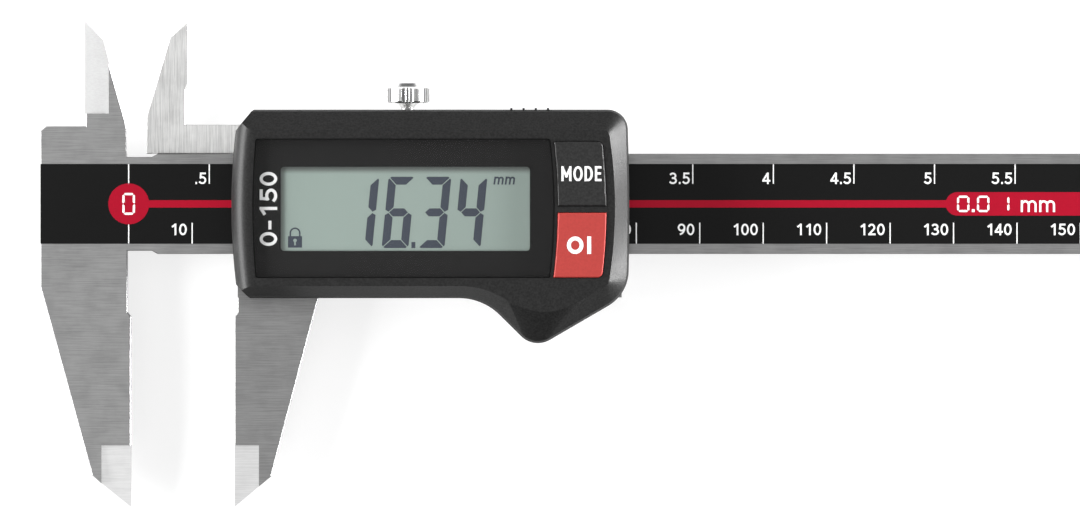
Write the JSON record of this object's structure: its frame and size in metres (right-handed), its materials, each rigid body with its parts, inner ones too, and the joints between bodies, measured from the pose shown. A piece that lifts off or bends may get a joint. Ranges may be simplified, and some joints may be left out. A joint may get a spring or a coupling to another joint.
{
  "type": "digital caliper",
  "caption": "Digital caliper with outside jaws, crossed inside blades, sliding display housing, lock screw, depth rod, two push buttons and a pull-out battery tray.",
  "frame": {"origin": "measuring face of the fixed jaw (x = 0), centre line of the beam (y = 0), rear face of the beam (z = 0)", "axes": "+X along the beam away from the head, +Y towards the inside blades, +Z out of the display"},
  "size_m": [0.2513, 0.0767, 0.0149],
  "materials": {
    "hardened_steel": "satin ground and brushed",
    "screw_steel": "satin",
    "gib_bronze": "drawn",
    "bright_chrome": "polished",
    "circuit_board": "solder mask",
    "scale_print": "matt black film with white and red print",
    "housing_plastic": "fine moulded texture",
    "dark_button": "fine matt",
    "red_button": "fine matt",
    "felt": "pressed felt",
    "seal_rubber": "moulded",
    "clear_window": "clear, hard coated",
    "black_print": "printed film",
    "lcd_glass": "grey-green reflective display",
    "component_black": "moulded",
    "contact_plate": "gold plated spring",
    "cell_steel": "pressed can"
  },
  "bodies": {
    "beam": {"beam": "hardened_steel", "scale_board": "circuit_board", "scale_film": "scale_print", "end_stop": "hardened_steel", "end_stop_screws": "screw_steel"},
    "slider": {"slider": "hardened_steel", "gib_strip": "gib_bronze", "gib_screws": "screw_steel", "depth_rod": "hardened_steel", "depth_rod_screws": "screw_steel", "housing_base": "housing_plastic", "pickup_board": "circuit_board", "pickup_connector": "component_black", "wiper_left": "felt", "wiper_right": "felt", "housing_gasket": "seal_rubber", "housing_shell": "housing_plastic", "housing_screws": "screw_steel", "display_window": "clear_window", "display_mask": "black_print", "lcd_panel": "lcd_glass", "lcd_connectors": "seal_rubber", "main_board": "circuit_board", "board_components": "component_black", "board_screws": "screw_steel", "battery_contact_negative": "contact_plate", "battery_contact_positive": "contact_plate", "mode_dome": "contact_plate", "power_dome": "contact_plate"},
    "lock_pad": {"lock_pad": "gib_bronze"},
    "lock_screw": {"lock_screw": "bright_chrome"},
    "mode_button": {"mode_button": "dark_button"},
    "power_button": {"power_button": "red_button"},
    "battery_tray": {"battery_tray": "housing_plastic", "battery_seal": "seal_rubber", "coin_cell": "cell_steel"}
  },
  "joints": [
    {"name": "slider_travel", "type": "slide", "parent": "beam", "child": "slider", "axis": [1, 0, 0], "range_m": [-0.01634, 0.138]},
    {"name": "lock_pad_slide", "type": "slide", "parent": "slider", "child": "lock_pad", "axis": [0, 1, 0], "range_m": [-0.0001, 0.0008]},
    {"name": "lock_screw_turn", "type": "hinge", "parent": "lock_pad", "child": "lock_screw", "pos_m": [0.0436, 0, 0.0019], "axis": [0, 1, 0], "range_deg": [-91, 721]},
    {"name": "mode_button_press", "type": "slide", "parent": "slider", "child": "mode_button", "axis": [0, 0, -1], "range_m": [0, 0.0003], "stiffness_N_per_m": 800, "deforming": ["mode_dome"]},
    {"name": "power_button_press", "type": "slide", "parent": "slider", "child": "power_button", "axis": [0, 0, -1], "range_m": [0, 0.0003], "stiffness_N_per_m": 800, "deforming": ["power_dome"]},
    {"name": "battery_tray_pull", "type": "slide", "parent": "slider", "child": "battery_tray", "axis": [0, 1, 0], "range_m": [0, 0.022]}
  ],
  "couplings": [
    {"joint": "lock_screw_turn", "follows": "lock_pad_slide", "rad_per_m": 15708}
  ]
}
